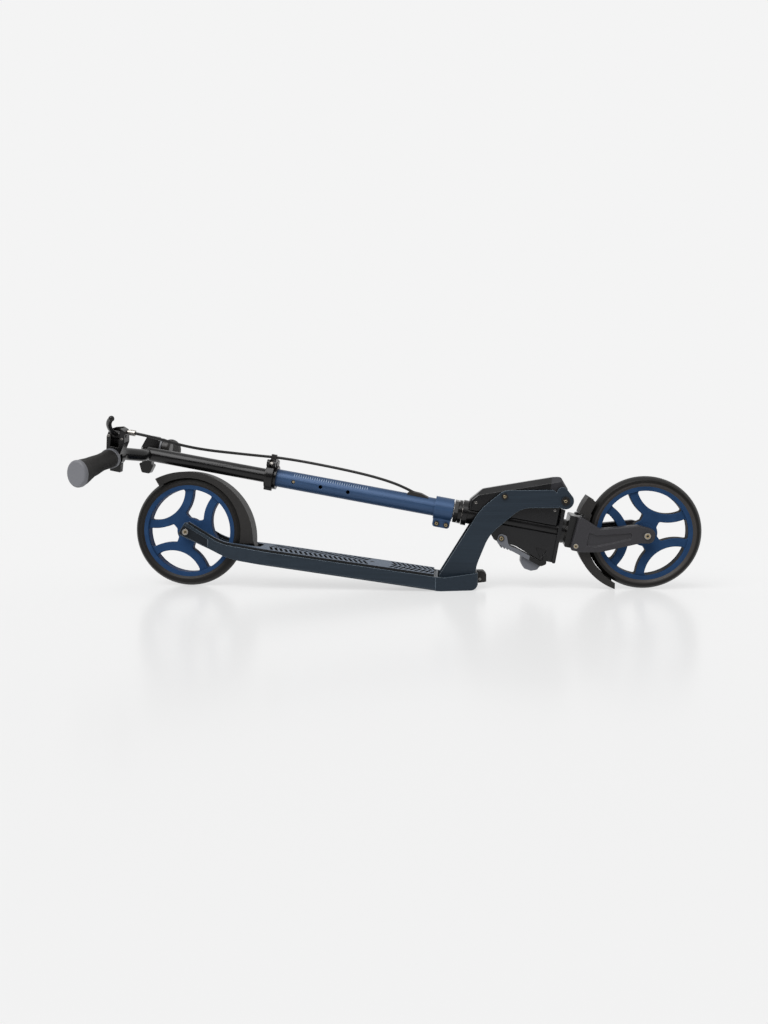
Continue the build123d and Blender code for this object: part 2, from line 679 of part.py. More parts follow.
BAR = bar_solid(bar_d)
CABLE_HOLE = cable_solid(cable_d)
handlebar = BAR - bar_solid(bar_d - 4) - both_sides(extrude(grip_end() * Circle(20), 30))
rear_face = tail_w / 2 - 0.6

pieces = {
    "deck_extrusion": make_deck(),
    "grip_panel": make_grip_panel(),
    "deck_nose": make_nose(),
    "neck_plate_right": side_plate(neck_side(), -plate_out, -plate_in),
    "neck_plate_left": side_plate(neck_side(), plate_in, plate_out),
    "neck_bridge": make_neck_bridge(),
    "catch_block": make_catch_block(),
    "lock_studs": make_lock_studs(),
    "fold_pivot_bolt": make_fold_pivot(),
    "dropout_plates": both_sides(side_plate(dropout_side(), tail_w / 2 - 2, rear_face)
                                 - bar_y(0, wheel_d / 2, axle_d, 0, 50)),
    "rear_axle": REAR_AXLE * make_axle(rear_face),
    "rear_axle_spacers": REAR_AXLE * make_axle_spacers(slot_w / 2),
    "brake_pivot_pin": bar_y(*brake_pivot, 6, -30, 30),
    "rear_rim": REAR_AXLE * make_rim(10),
    "rear_tyre": REAR_AXLE * make_tyre(),
    "rear_bearings": REAR_AXLE * make_bearings(),
    "rear_fender": make_rear_fender(),
    "head_tube": COLUMN * make_head_tube(),
    "housing_right": COLUMN * mirror(make_shell(), about=Plane.XZ),
    "housing_left": COLUMN * make_shell(),
    "lock_housing": COLUMN * make_lock_housing(),
    "fold_bushes": COLUMN * make_fold_bushes(),
    "headset_cups": COLUMN * make_headset_cups(),
    "headset_bearings": COLUMN * make_headset_bearings(),
    "latch_pivot_pin": COLUMN * make_latch_pivot(),
    "release_lever": COLUMN * make_release_lever(),
    "steerer_tube": STEER * tube_x(steerer_d, 19, 440, 706),
    "headset_nut": STEER * make_headset_nut(),
    "outer_tube": STEER * make_outer_tube(),
    "lower_clamp": STEER * make_lower_clamp(),
    "lower_clamp_bolts": STEER * make_lower_clamp_bolts(),
    "cable_port": STEER * make_cable_port(),
    "collar_clamp": STEER * make_collar_clamp(),
    "collar_skewer": STEER * make_skewer(),
    "collar_lever": STEER * make_collar_lever(),
    "cable_clip": STEER * make_cable_clip(),
    "fork_crown": STEER * make_fork_crown(),
    "fork_arm_right": STEER * mirror(make_fork_arm(), about=Plane.XZ),
    "fork_arm_left": STEER * make_fork_arm(),
    "fork_bolt": STEER * make_fork_bolt(),
    "front_fender": STEER * make_front_fender(),
    "brake_shoe": STEER * make_brake_shoe(),
    "front_axle": FRONT_AXLE * make_axle(36),
    "front_axle_spacers": FRONT_AXLE * make_axle_spacers(22.5),
    "front_rim": FRONT_AXLE * make_rim(66 + column_tilt),
    "front_tyre": FRONT_AXLE * make_tyre(),
    "front_bearings": FRONT_AXLE * make_bearings(),
    "inner_tube": STEER * make_inner_tube(),
    "height_button": STEER * make_height_button(),
    "handlebar": STEER * handlebar,
    "grip_right": STEER * make_grip(),
    "grip_left": STEER * mirror(make_grip(), about=Plane.XZ),
    "grip_caps": STEER * both_sides(make_grip_cap()),
    "grip_rings": STEER * both_sides(make_grip_ring()),
    "brake_perch": STEER * make_perch(),
    "brake_blade": STEER * make_blade(),
    "barrel_adjuster": STEER * make_barrel(),
    "bell_base": STEER * make_bell_base(),
    "bell_dome": STEER * make_bell_dome(),
    "brake_cable": STEER * CABLE_HOLE,
}

os.makedirs("parts", exist_ok=True)
for name, piece in pieces.items():
    export_step(Pos(-origin_x, 0, 0) * piece, f"parts/{name}.step")
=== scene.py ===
import json
from math import cos, pi, radians, sin

import bmesh
import bpy
from mathutils import Matrix, Vector


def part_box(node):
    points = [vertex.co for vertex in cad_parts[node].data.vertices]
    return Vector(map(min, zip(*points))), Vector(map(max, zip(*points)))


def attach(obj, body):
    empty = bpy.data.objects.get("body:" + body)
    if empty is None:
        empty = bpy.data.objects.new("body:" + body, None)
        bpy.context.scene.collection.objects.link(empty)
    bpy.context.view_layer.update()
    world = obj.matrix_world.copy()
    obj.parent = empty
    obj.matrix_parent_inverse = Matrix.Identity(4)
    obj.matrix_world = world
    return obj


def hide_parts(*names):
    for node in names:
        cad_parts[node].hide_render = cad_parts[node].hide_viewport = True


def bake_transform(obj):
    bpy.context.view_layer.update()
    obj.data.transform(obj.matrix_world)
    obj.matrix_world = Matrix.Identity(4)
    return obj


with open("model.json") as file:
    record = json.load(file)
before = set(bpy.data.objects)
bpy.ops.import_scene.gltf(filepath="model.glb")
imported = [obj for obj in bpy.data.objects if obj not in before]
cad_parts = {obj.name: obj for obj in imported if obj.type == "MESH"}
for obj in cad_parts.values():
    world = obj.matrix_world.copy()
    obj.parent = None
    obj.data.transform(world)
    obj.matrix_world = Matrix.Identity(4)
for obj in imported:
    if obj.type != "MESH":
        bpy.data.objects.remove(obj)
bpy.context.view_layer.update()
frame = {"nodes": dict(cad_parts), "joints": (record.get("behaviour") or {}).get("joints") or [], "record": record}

# Deck: a 6000-series aluminium extrusion, bent up at the tail and slotted for the wheel. The nose
# tray, the two neck plates and the web between them are welded to it, and the whole weldment is
# bead blasted and anodised dark blue.
mm = 0.001
cad = frame["nodes"]


def linear(colour):
    """Linear colour of an sRGB hex value."""
    parts = [int(colour[i:i + 2], 16) / 255 for i in (1, 3, 5)]
    return [p / 12.92 if p <= 0.04045 else ((p + 0.055) / 1.055) ** 2.4 for p in parts] + [1.0]


def add(tree, kind, inputs=None, **settings):
    """Adds one shader node. An input that is given a socket is linked to it, any other is set."""
    node = tree.nodes.new(kind)
    for name, value in settings.items():
        setattr(node, name, value)
    for key, value in (inputs or {}).items():
        if isinstance(value, bpy.types.NodeSocket):
            tree.links.new(value, node.inputs[key])
        else:
            node.inputs[key].default_value = value
    return node


def new_finish(name, metallic=0.0, specular=0.5):
    """A material with its surface shader, and the place of each point in the model's own frame."""
    finish = bpy.data.materials.new(name)
    finish.use_nodes = True
    shader = finish.node_tree.nodes["Principled BSDF"]
    shader.inputs["Metallic"].default_value = metallic
    shader.inputs["Specular IOR Level"].default_value = specular
    where = add(finish.node_tree, "ShaderNodeTexCoord")
    return finish, finish.node_tree, shader, where.outputs["Object"]


def broken_edges(tree, radius):
    """Normal of a surface whose edges have a small radius, and how near an edge is, from 0 to 1."""
    soft = add(tree, "ShaderNodeBevel", {"Radius": radius}, samples=6)
    face = add(tree, "ShaderNodeNewGeometry")
    turn = add(tree, "ShaderNodeVectorMath", {0: soft.outputs["Normal"], 1: face.outputs["Normal"]},
               operation="DOT_PRODUCT")
    near = add(tree, "ShaderNodeMapRange", {"Value": turn.outputs["Value"], "From Min": 0.995,
                                            "From Max": 0.75})
    return soft.outputs["Normal"], near.outputs["Result"]


def lay_pattern(tree, shader, pattern, tones, roughness, depth, normal=None):
    """Lays one pattern over a finish: two tones, a range of roughness and a relief of real depth."""
    share = add(tree, "ShaderNodeMapRange", {"Value": pattern, "From Min": 0.3, "From Max": 0.7})
    colour = add(tree, "ShaderNodeMix", {"Factor": share.outputs["Result"], "A": linear(tones[0]),
                                         "B": linear(tones[1])}, data_type="RGBA")
    gloss = add(tree, "ShaderNodeMapRange", {"Value": share.outputs["Result"], "To Min": roughness[0],
                                             "To Max": roughness[1]})
    bump = add(tree, "ShaderNodeBump", {"Height": pattern, "Distance": depth})
    if normal is not None:
        tree.links.new(normal, bump.inputs["Normal"])
    tree.links.new(colour.outputs["Result"], shader.inputs["Base Color"])
    tree.links.new(gloss.outputs["Result"], shader.inputs["Roughness"])
    tree.links.new(bump.outputs["Normal"], shader.inputs["Normal"])
    return colour.outputs["Result"]


def cover(tree, shader, under, share, colour):
    """Paints a second colour over the first where the share is high."""
    mix = add(tree, "ShaderNodeMix", {"Factor": share, "A": under, "B": linear(colour)}, data_type="RGBA")
    tree.links.new(mix.outputs["Result"], shader.inputs["Base Color"])
    return mix.outputs["Result"]


def dress(finish, *names):
    """Gives CAD nodes their material."""
    for name in names:
        cad[name].data.materials.clear()
        cad[name].data.materials.append(finish)


# Blasted and anodised aluminium: an even satin sheen, with faint lines drawn along by the die, and
# pale edges painted on as a highlight. The lines are drawn wider than real ones, to show.
deck_finish, tree, shader, place = new_finish("anodised_aluminium_dark_blue", metallic=0.35)
stretched = add(tree, "ShaderNodeMapping", {"Vector": place,
                                            "Scale": (1 / (90 * mm), 1 / (1.2 * mm), 1 / (1.2 * mm))})
die_lines = add(tree, "ShaderNodeTexNoise", {"Vector": stretched.outputs["Vector"], "Scale": 1.0,
                                             "Detail": 2.0})
edge_normal, near_edge = broken_edges(tree, 1.0 * mm)
dyed = lay_pattern(tree, shader, die_lines.outputs["Fac"], ("#18242F", "#1F2C38"), (0.4, 0.52), 0.01 * mm,
                   edge_normal)
# Painted highlight: the edges are painted pale, as light catching them.
edge_highlight_share = add(tree, "ShaderNodeMath", {0: near_edge, 1: 0.55}, operation="MULTIPLY")
cover(tree, shader, dyed, edge_highlight_share.outputs["Value"], "#A9B9C8")
dress(deck_finish, "deck_extrusion", "deck_nose", "neck_plate_right", "neck_plate_left", "neck_bridge")

# Dropout plates: steel blanks let into the tail on both sides of the wheel, held by the axle.
# Phosphating leaves steel almost black and faintly mottled.
phosphate, tree, shader, place = new_finish("phosphated_steel_black", metallic=0.2, specular=0.3)
mottle = add(tree, "ShaderNodeTexNoise", {"Vector": place, "Scale": 1 / (1.5 * mm), "Detail": 3.0})
edge_normal = broken_edges(tree, 0.5 * mm)[0]
lay_pattern(tree, shader, mottle.outputs["Fac"], ("#0B1118", "#121A22"), (0.4, 0.55), 0.01 * mm, edge_normal)
dress(phosphate, "dropout_plates")

# Deck panel: an aluminium sheet pierced with slanting windows, pressed in between the rails, and
# standing a little above them. Its blasted top is paler than the rails; its sides are painted near black as shade.
panel_finish, tree, shader, place = new_finish("grit_blasted_aluminium_blue_grey", metallic=0.3)
mount = {m["name"]: m for m in frame["record"]["mounts"]}
panel_up = Vector(mount["standing_surface"]["axis"])
grit = add(tree, "ShaderNodeTexNoise", {"Vector": place, "Scale": 1 / (0.8 * mm), "Detail": 3.0})
edge_normal = broken_edges(tree, 0.4 * mm)[0]
blasted = lay_pattern(tree, shader, grit.outputs["Fac"], ("#44515E", "#58667A"), (0.5, 0.65), 0.04 * mm,
                      edge_normal)
face = add(tree, "ShaderNodeNewGeometry")
level = add(tree, "ShaderNodeVectorMath", {0: face.outputs["True Normal"], 1: panel_up},
            operation="DOT_PRODUCT")
# Painted shade: faces that do not look up, the panel's sides and window walls, are painted near black.
side = add(tree, "ShaderNodeMapRange", {"Value": level.outputs["Value"], "From Min": 0.85, "From Max": 0.5})
cover(tree, shader, blasted, side.outputs["Result"], "#07090C")
dress(panel_finish, "grip_panel")


# Panel screws: two countersunk steel screws on the middle line hold the panel down.
# Each is a turned head with a hexagon socket, phosphated black like the dropouts.

def piece(name, mesh, body, *finishes):
    """Puts a finished mesh in the scene and lets it ride on a body."""
    for finish in finishes:
        mesh.materials.append(finish)
    thing = bpy.data.objects.new(name, mesh)
    bpy.context.scene.collection.objects.link(thing)
    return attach(thing, body)


def ring_skin(name, rings, smooth=True, last=0):
    """Closed mesh through rings of points of equal count. The last strips take the second finish."""
    made = bmesh.new()
    loops = [[made.verts.new(p) for p in ring] for ring in rings]
    count = len(loops[0])
    for k, (low, high) in enumerate(zip(loops, loops[1:])):
        for i in range(count):
            j = (i + 1) % count
            strip = made.faces.new((low[i], low[j], high[j], high[i]))
            strip.material_index = 1 if k >= len(loops) - 1 - last else 0
    made.faces.new(list(reversed(loops[0])))
    cap = made.faces.new(loops[-1])
    cap.material_index = 1 if last else 0
    bmesh.ops.recalc_face_normals(made, faces=made.faces)
    for face in made.faces:
        face.smooth = smooth
    mesh = bpy.data.meshes.new(name)
    made.to_mesh(mesh)
    made.free()
    return mesh


def facing(point, outward):
    """Place whose Z axis looks outward from a point."""
    return Matrix.Translation(point) @ Vector(outward).to_track_quat("Z", "Y").to_matrix().to_4x4()


def socket_head(name, spot, outward, d, h, body, rim, core):
    """Round screw head of diameter d and height h, with a hexagon socket in a second finish."""
    seat = facing(spot, outward)
    sides = 36
    turn = [2 * pi * i / sides for i in range(sides)]
    across = 0.46 * d

    def round_ring(r, z):
        return [seat @ Vector((r * cos(a), r * sin(a), z)) for a in turn]

    def hex_ring(z):
        reach = [across / 2 / cos((a % (pi / 3)) - pi / 6) for a in turn]
        return [seat @ Vector((r * cos(a), r * sin(a), z)) for r, a in zip(reach, turn)]

    rings = [round_ring(d / 2, 0), round_ring(d / 2, 0.65 * h), round_ring(0.46 * d, 0.9 * h),
             round_ring(0.38 * d, h), hex_ring(h), hex_ring(0.3 * h)]
    return piece(name, ring_skin(name, rings, smooth=False, last=1), body, rim, core)


panel_point = Vector(mount["standing_surface"]["pos_m"])
panel_run = Vector((panel_up.z, 0, -panel_up.x))
for k, ahead in enumerate((-18 * mm, 20 * mm)):
    socket_head(f"panel_screw_{k}", panel_point + panel_run * ahead, panel_up, 8 * mm, 0.6 * mm, "deck",
                phosphate, phosphate)

# Axles, bearings and the steerer: turned steel, zinc plated, clamped with nuts and socket heads.
# Zinc plate is a bright, slightly cloudy metal.
zinc, tree, shader, place = new_finish("zinc_plated_steel", metallic=1.0)
cloud = add(tree, "ShaderNodeTexNoise", {"Vector": place, "Scale": 1 / (2.5 * mm), "Detail": 3.0})
edge_normal = broken_edges(tree, 0.4 * mm)[0]
lay_pattern(tree, shader, cloud.outputs["Fac"], ("#8F8C88", "#B9B5AF"), (0.24, 0.4), 0.005 * mm, edge_normal)
dress(zinc, "rear_axle", "front_axle", "rear_bearings", "front_bearings", "headset_bearings", "collar_skewer",
      "barrel_adjuster", "rear_axle_spacers", "front_axle_spacers", "steerer_tube", "brake_pivot_pin",
      "fork_bolt")

# Rear axle head: a round head on the right side with a brass-coloured socket in its middle.
# Zinc with a yellow passivation looks like pale brass, a little uneven from the bath.
joint = {j["name"]: j for j in frame["joints"]}
yellow_zinc, tree, shader, place = new_finish("yellow_passivated_zinc", metallic=1.0)
haze = add(tree, "ShaderNodeTexNoise", {"Vector": place, "Scale": 1 / (2 * mm), "Detail": 3.0})
edge_normal = broken_edges(tree, 0.4 * mm)[0]
lay_pattern(tree, shader, haze.outputs["Fac"], ("#8F7F63", "#B5A688"), (0.26, 0.4), 0.005 * mm, edge_normal)
spot = Vector(joint["rear_spin"]["pos_m"])
spot.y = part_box("rear_axle")[0].y + 0.1 * mm
socket_head("rear_axle_socket", spot, (0, -1, 0), 6.5 * mm, 0.5 * mm, "deck", yellow_zinc, phosphate)

# Neck bolts: the fold pivot and the two lock studs, driven through both neck plates. They are steel
# with a black oxide film and brass-coloured sockets, and their edges are painted grey as a highlight.
black_oxide, tree, shader, place = new_finish("black_oxide_steel", metallic=0.6)
film = add(tree, "ShaderNodeTexNoise", {"Vector": place, "Scale": 1 / (3 * mm), "Detail": 3.0})
edge_normal, near_edge = broken_edges(tree, 0.5 * mm)
oxide = lay_pattern(tree, shader, film.outputs["Fac"], ("#1B1A19", "#262423"), (0.3, 0.45), 0.005 * mm,
                    edge_normal)
# Painted highlight: the edges are painted grey.
cover(tree, shader, oxide, near_edge, "#54504B")
dress(black_oxide, "lock_studs", "fold_pivot_bolt", "latch_pivot_pin")
column_way = Vector(joint["steer"]["axis"])
column_up = column_way.cross(Vector((0, 1, 0)))
column_start = Vector(joint["steer"]["pos_m"]) - column_way * 600 * mm


def on_head(s, y, t):
    """Point of the folding head: along the column, across, and above its axis, in millimetres."""
    return column_start + column_way * s * mm + Vector((0, y * mm, 0)) + column_up * t * mm


for name, s, t, node in (("pivot", 674.2, 53.7, "fold_pivot_bolt"), ("stud", 569.1, 42.3, "lock_studs")):
    low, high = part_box(node)
    for side in (-1, 1):
        spot = on_head(s, 0, t)
        spot.y = (high.y if side > 0 else low.y) - side * 0.3 * mm
        socket_head(f"{name}_socket_{side + 1}", spot, (0, side, 0), 5.5 * mm, 0.5 * mm, "deck", yellow_zinc,
                    phosphate)

# Catch block: a stop of charcoal nylon on the front wall of the nose, held by one cross screw.
# Moulded nylon is dull, with a faint sparkle from the eroded mould.
nylon, tree, shader, place = new_finish("moulded_nylon_charcoal", specular=0.3)
pits = add(tree, "ShaderNodeTexNoise", {"Vector": place, "Scale": 1 / (0.8 * mm), "Detail": 3.0})
edge_normal, near_edge = broken_edges(tree, 0.9 * mm)
moulded = lay_pattern(tree, shader, pits.outputs["Fac"], ("#1F1E1D", "#282625"), (0.45, 0.62), 0.03 * mm,
                      edge_normal)
# Painted highlight: the edges are painted a paler grey.
painted_edge_highlight = add(tree, "ShaderNodeMath", {0: near_edge, 1: 0.3}, operation="MULTIPLY")
cover(tree, shader, moulded, painted_edge_highlight.outputs["Value"], "#5A5855")
dress(nylon, "catch_block")
low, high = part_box("catch_block")
for side in (-1, 1):
    spot = Vector((low.x + 4 * mm, side * high.y, low.z + 7 * mm))
    socket_head(f"catch_screw_{side + 1}", spot, (0, side, 0), 5 * mm, 1.2 * mm, "deck", zinc, phosphate)

# Fenders: charcoal nylon channels over both tyres. The rear one is hinged on its foot and is the
# foot brake, and the front one is held in the fork crown.
dress(nylon, "rear_fender", "front_fender")

# Rims: glass-filled nylon, moulded in blue, with three C-shaped spokes each.
# The satin face has faint flow marks, the moulded edges catch the light, and the deep walls of the
# windows are painted dark as shade, nearly black on the front wheel.
for wheel, tones, wall_shade_tone in (("rear", ("#263F62", "#2C486D"), "#1F3357"),
                               ("front", ("#213857", "#274163"), "#080A0F")):
    rim_finish, tree, shader, place = new_finish(f"moulded_nylon_blue_{wheel}", specular=0.03)
    flow = add(tree, "ShaderNodeTexNoise", {"Vector": place, "Scale": 1 / (18 * mm), "Detail": 5.0})
    edge_normal, near_edge = broken_edges(tree, 1.2 * mm)
    blue = lay_pattern(tree, shader, flow.outputs["Fac"], tones, (0.4, 0.52), 0.1 * mm, edge_normal)
    lit = add(tree, "ShaderNodeMath", {0: near_edge, 1: 0.5}, operation="MULTIPLY")
    blue = cover(tree, shader, blue, lit.outputs["Value"], "#3C5A8A")
    axle_way = joint[f"{wheel}_spin"]["axis"]
    # Painted shade: faces turned across the axle, the window walls, are painted darker.
    face = add(tree, "ShaderNodeNewGeometry")
    turn = add(tree, "ShaderNodeVectorMath", {0: face.outputs["True Normal"], 1: axle_way},
               operation="DOT_PRODUCT")
    flat = add(tree, "ShaderNodeMath", {0: turn.outputs["Value"]}, operation="ABSOLUTE")
    painted_wall_shade = add(tree, "ShaderNodeMapRange", {"Value": flat.outputs["Value"], "From Min": 0.6, "From Max": 0.3})
    cover(tree, shader, blue, painted_wall_shade.outputs["Result"], wall_shade_tone)
    dress(rim_finish, f"{wheel}_rim")

# Tyres: cast polyurethane, nearly black, bonded to the rims. A rubbed ring of the side wall next to
# the rim is paler than the round tread, most of all on the front wheel, and the tread has a low gloss.

def from_axle(tree, place, spin):
    """Distance of a point from a wheel's axle."""
    out = add(tree, "ShaderNodeVectorMath", {0: place, 1: spin["pos_m"]}, operation="SUBTRACT")
    across = add(tree, "ShaderNodeVectorMath", {0: out.outputs["Vector"], 1: spin["axis"]},
                 operation="CROSS_PRODUCT")
    radius = add(tree, "ShaderNodeVectorMath", {0: across.outputs["Vector"]}, operation="LENGTH")
    return radius.outputs["Value"]


for wheel, ring_tone in (("rear", "#1E1B19"), ("front", "#3F3B39")):
    tyre_finish, tree, shader, place = new_finish(f"cast_polyurethane_black_{wheel}", specular=0.26)
    dust = add(tree, "ShaderNodeTexNoise", {"Vector": place, "Scale": 1 / (2.5 * mm), "Detail": 4.0})
    rubber = lay_pattern(tree, shader, dust.outputs["Fac"], ("#0A0908", "#110F0D"), (0.38, 0.5), 0.1 * mm)
    radius = from_axle(tree, place, joint[f"{wheel}_spin"])
    outer = add(tree, "ShaderNodeMapRange", {"Value": radius, "From Min": 90 * mm, "From Max": 88 * mm})
    pale = add(tree, "ShaderNodeMath", {0: outer.outputs["Result"], 1: 0.75}, operation="MULTIPLY")
    cover(tree, shader, rubber, pale.outputs["Value"], ring_tone)
    dress(tyre_finish, f"{wheel}_tyre")

# Folding head: an aluminium head tube with a welded gusset, turned cups and a lock nut, all hard
# anodised black. The inner tube, the bar, the collar and the brake lever have the same finish.
hard_black, tree, shader, place = new_finish("hard_anodised_aluminium_black", metallic=0.15, specular=0.4)
streaks = add(tree, "ShaderNodeMapping", {"Vector": place,
                                          "Scale": (1 / (60 * mm), 1 / (2 * mm), 1 / (2 * mm))})
drawn = add(tree, "ShaderNodeTexNoise", {"Vector": streaks.outputs["Vector"], "Scale": 1.0, "Detail": 3.0})
edge_normal, near_edge = broken_edges(tree, 0.8 * mm)
black = lay_pattern(tree, shader, drawn.outputs["Fac"], ("#0A0A0B", "#121112"), (0.2, 0.3), 0.005 * mm,
                    edge_normal)
# Painted highlight: the edges are painted grey.
painted_edge_highlight = add(tree, "ShaderNodeMath", {0: near_edge, 1: 0.5}, operation="MULTIPLY")
cover(tree, shader, black, painted_edge_highlight.outputs["Value"], "#4A4844")
dress(hard_black, "head_tube", "headset_cups", "headset_nut", "fold_bushes")

# Cover shells and latch casting: black ABS mouldings closed over the head tube with small screws.
# Gloss ABS mirrors the studio in its long edges; the end of the cover is a dull grey cap.


def column_place(tree, place):
    """How far a point is along the column, across it, and above its axis."""
    from_start = add(tree, "ShaderNodeVectorMath", {0: place, 1: column_start}, operation="SUBTRACT")
    ways = (column_way, Vector((0, 1, 0)), column_up)
    found = [add(tree, "ShaderNodeVectorMath", {0: from_start.outputs["Vector"], 1: way},
                 operation="DOT_PRODUCT") for way in ways]
    return [node.outputs["Value"] for node in found]


cover_black, tree, shader, place = new_finish("moulded_abs_gloss_black", specular=0.4)
sink = add(tree, "ShaderNodeTexNoise", {"Vector": place, "Scale": 1 / (40 * mm), "Detail": 2.0})
edge_normal = broken_edges(tree, 1.2 * mm)[0]
gloss = lay_pattern(tree, shader, sink.outputs["Fac"], ("#0D0D0F", "#131315"), (0.16, 0.28), 0.1 * mm,
                    edge_normal)
along, _, above = column_place(tree, place)
past = add(tree, "ShaderNodeMapRange", {"Value": along, "From Min": 645.5 * mm, "From Max": 646 * mm})
over = add(tree, "ShaderNodeMapRange", {"Value": above, "From Min": 60 * mm, "From Max": 60.5 * mm})
cap = add(tree, "ShaderNodeMath", {0: past.outputs["Result"], 1: over.outputs["Result"]},
          operation="MULTIPLY")
cover(tree, shader, gloss, cap.outputs["Value"], "#2C2C30")
dress(cover_black, "housing_right", "housing_left", "lock_housing")
for side in (-1, 1):
    for k, (s, t) in enumerate(((522.5, 22), (660.5, 34))):
        socket_head(f"shell_screw_{side + 1}_{k}", on_head(s, side * 20.5, t), (0, side, 0), 4.5 * mm,
                    0.8 * mm, "head", zinc, phosphate)
latch = Vector(joint["release_pull"]["pos_m"])
low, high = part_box("latch_pivot_pin")
for side in (-1, 1):
    latch.y = (high.y if side > 0 else low.y) - side * 0.2 * mm
    socket_head(f"latch_socket_{side + 1}", latch.copy(), (0, side, 0), 7 * mm, 0.9 * mm, "head", yellow_zinc,
                phosphate)

# Release lever: a grey glass-filled nylon moulding with a ridged thumb pad and a hook on each arm.
# The hooks are overmoulded in black. The grip rings and end caps are a paler grey of the same nylon.
for shade, tones, names in (("dark_grey", ("#5E6066", "#686A70"), ("release_lever",)),
                            ("grey", ("#6C6D72", "#76777C"), ("grip_caps", "grip_rings"))):
    grey_nylon, tree, shader, place = new_finish(f"moulded_nylon_{shade}", specular=0.35)
    specks = add(tree, "ShaderNodeTexNoise", {"Vector": place, "Scale": 1 / (0.9 * mm), "Detail": 3.0})
    edge_normal, near_edge = broken_edges(tree, 0.8 * mm)
    grey = lay_pattern(tree, shader, specks.outputs["Fac"], tones, (0.4, 0.55), 0.02 * mm, edge_normal)
    # Painted highlight: the edges are painted a paler grey.
    painted_edge_highlight = add(tree, "ShaderNodeMath", {0: near_edge, 1: 0.35}, operation="MULTIPLY")
    grey = cover(tree, shader, grey, painted_edge_highlight.outputs["Value"], "#A2A4A9")
    if "release_lever" in names:
        along, across, _ = column_place(tree, place)
        aside = add(tree, "ShaderNodeMath", {0: across}, operation="ABSOLUTE")
        arm = add(tree, "ShaderNodeMapRange", {"Value": aside.outputs["Value"], "From Min": 20 * mm,
                                               "From Max": 20.2 * mm})
        tip = add(tree, "ShaderNodeMapRange", {"Value": along, "From Min": 632 * mm, "From Max": 632.5 * mm})
        hook = add(tree, "ShaderNodeMath", {0: arm.outputs["Result"], 1: tip.outputs["Result"]},
                   operation="MULTIPLY")
        cover(tree, shader, grey, hook.outputs["Value"], "#0E0E0F")
    dress(grey_nylon, *names)

# Column: a drawn aluminium tube, anodised blue, held on the steerer by a split clamp of the same
# blue. Drawing leaves faint lines along the tube, which stretch the highlight.
column_finish, tree, shader, place = new_finish("anodised_aluminium_blue", metallic=0.35)
tilt = Vector((1, 0, 0)).rotation_difference(column_way).to_euler()
flat = add(tree, "ShaderNodeVectorRotate", {"Vector": place, "Axis": (0, 1, 0), "Angle": -tilt.y},
           rotation_type="AXIS_ANGLE")
stretched = add(tree, "ShaderNodeMapping", {"Vector": flat.outputs["Vector"],
                                            "Scale": (1 / (120 * mm), 1 / (1.5 * mm), 1 / (1.5 * mm))})
lines = add(tree, "ShaderNodeTexNoise", {"Vector": stretched.outputs["Vector"], "Scale": 1.0, "Detail": 2.0})
edge_normal, near_edge = broken_edges(tree, 0.8 * mm)
dyed = lay_pattern(tree, shader, lines.outputs["Fac"], ("#284263", "#2F4B6F"), (0.36, 0.48), 0.01 * mm,
                   edge_normal)
# Painted highlight: the edges of the tube and the clamp are painted pale.
edge_highlight_share = add(tree, "ShaderNodeMath", {0: near_edge, 1: 0.5}, operation="MULTIPLY")
cover(tree, shader, dyed, edge_highlight_share.outputs["Value"], "#7088AC")
dress(column_finish, "outer_tube", "lower_clamp")
dress(black_oxide, "lower_clamp_bolts")

# Height button: a sprung brass-coloured stud of the inner tube, seen in the first setting hole.
# The two bolts of the lower clamp have sockets of the same yellow zinc.
dress(yellow_zinc, "height_button")
steer_across = Vector(joint["front_spin"]["axis"])
steer_up = column_way.cross(steer_across)


def on_column(s, y, t):
    """Point of the steering column, which is turned a little at rest, in millimetres."""
    return column_start + column_way * s * mm + steer_across * y * mm + steer_up * t * mm


for k, s in enumerate((460.5, 477.5)):
    socket_head(f"clamp_socket_{k}", on_column(s, -14.9, -26.5), -steer_across, 5.5 * mm, 0.5 * mm,
                "steering", yellow_zinc, black_oxide)

# Height scale: a row of fine white marks printed along the top of the tube, beside the setting holes.
# Pad-printed ink is matt, and lies a few hundredths of a millimetre above the anodised skin.
ink, tree, shader, place = new_finish("pad_printed_ink_white", specular=0.3)
patches = add(tree, "ShaderNodeTexNoise", {"Vector": place, "Scale": 1 / (1.5 * mm), "Detail": 3.0})
lay_pattern(tree, shader, patches.outputs["Fac"], ("#8FA0B6", "#A9B8CA"), (0.55, 0.7), 0.01 * mm)
skin_r = 16.06
mark_count, first_mark, mark_pitch, half_mark = 33, 195, 4.15, 0.45
mark_from, mark_arc, mark_steps = 143, 22, 6
scale = bmesh.new()
for k in range(mark_count):
    s = first_mark + mark_pitch * k
    rows = []
    for j in range(mark_steps + 1):
        a = radians(mark_from - mark_arc * j / mark_steps)
        rows.append([scale.verts.new(on_column(s + w, skin_r * cos(a), skin_r * sin(a)))
                     for w in (-half_mark, half_mark)])
    for first, second in zip(rows, rows[1:]):
        scale.faces.new((first[0], first[1], second[1], second[0]))
bmesh.ops.recalc_face_normals(scale, faces=scale.faces)
marks = bpy.data.meshes.new("height_scale")
scale.to_mesh(marks)
scale.free()
piece("height_scale", marks, "steering", ink)

# Collar: a split clamp at the top of the column, drawn together by a cam lever, with a nylon clip
# for the brake cable on top of it. A nylon port leads the cable into the tube further down.
dress(hard_black, "collar_clamp", "collar_lever")
dress(nylon, "cable_clip", "cable_port")

# Fork: two die-cast aluminium arms, powder coated dark grey, bolted to a black crown.
# The coat has a fine orange-peel surface.
fork_finish, tree, shader, place = new_finish("powder_coated_aluminium_grey", specular=0.35)
peel = add(tree, "ShaderNodeTexNoise", {"Vector": place, "Scale": 1 / (1.6 * mm), "Detail": 2.0})
edge_normal, near_edge = broken_edges(tree, 1.5 * mm)
coat = lay_pattern(tree, shader, peel.outputs["Fac"], ("#29282B", "#313034"), (0.42, 0.54), 0.03 * mm,
                   edge_normal)
